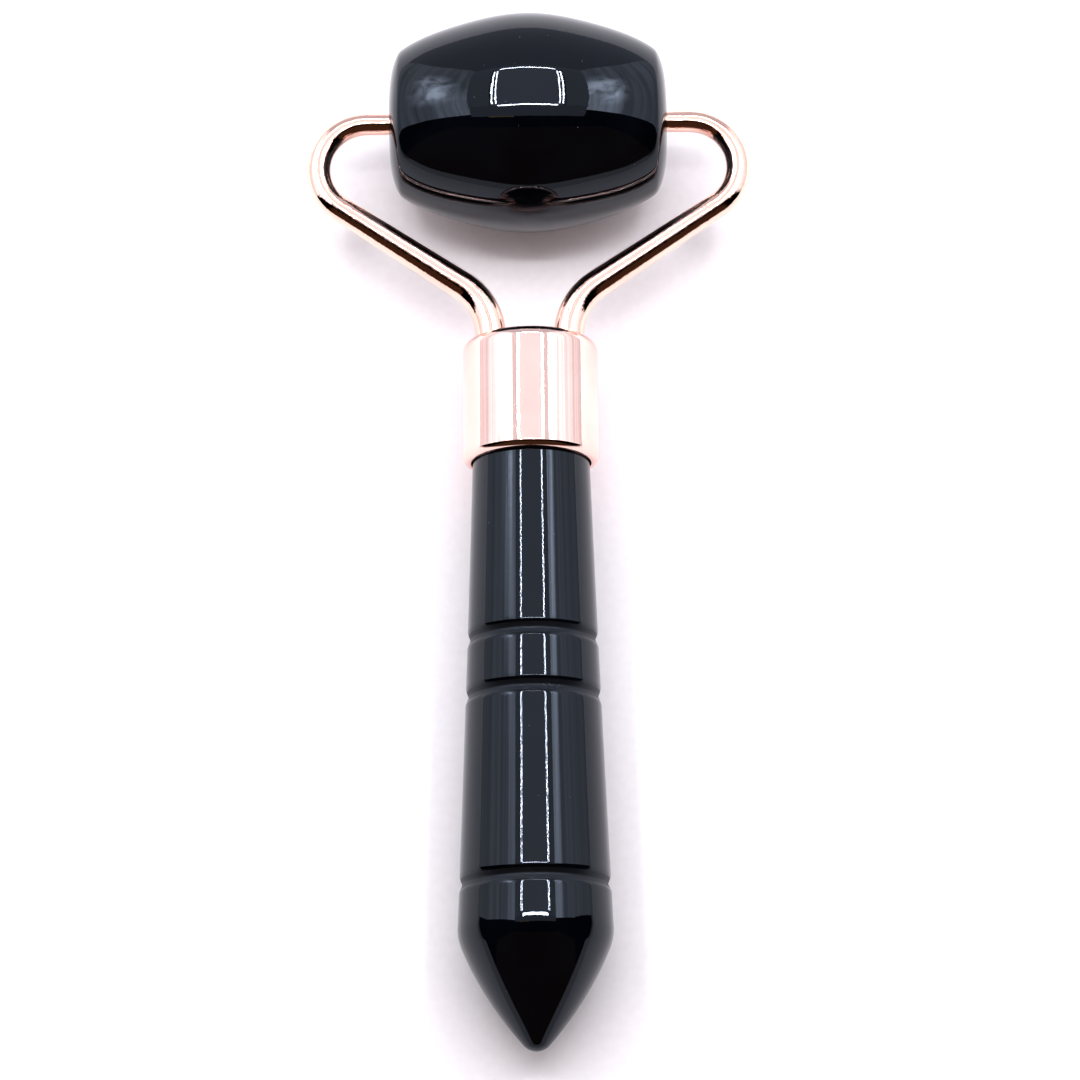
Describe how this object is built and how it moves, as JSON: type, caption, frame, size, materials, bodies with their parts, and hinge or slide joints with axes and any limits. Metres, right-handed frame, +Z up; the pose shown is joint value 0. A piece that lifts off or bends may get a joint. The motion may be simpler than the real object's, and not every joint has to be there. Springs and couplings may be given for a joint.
{
  "type": "stone face roller",
  "caption": "Hand-held face roller: a barrel-shaped black stone roller that turns between bent metal arms on a grooved stone handle with a pointed end.",
  "frame": {"origin": "on the ground plane, below the middle of the bounding box, with the tool lying as it rests on a table", "axes": "+X along the roller's axis, +Y from the handle's point towards the roller, +Z up"},
  "size_m": [0.0622, 0.1458, 0.0307],
  "materials": {
    "black_stone": "polished",
    "rose_gold_plating": "polished",
    "bush_plastic": "satin",
    "cured_adhesive": "satin"
  },
  "bodies": {
    "yoke_and_handle": {"handle_stone": "black_stone", "adhesive_plug": "cured_adhesive", "ferrule": "rose_gold_plating", "arm_left": "rose_gold_plating", "arm_right": "rose_gold_plating"},
    "roller": {"roller_stone": "black_stone", "bush_left": "bush_plastic", "bush_right": "bush_plastic"}
  },
  "joints": [
    {"name": "roller_spin", "type": "hinge", "parent": "yoke_and_handle", "child": "roller", "pos_m": [0, 0.0575, 0.01535], "axis": [1, 0, 0], "continuous": true}
  ]
}
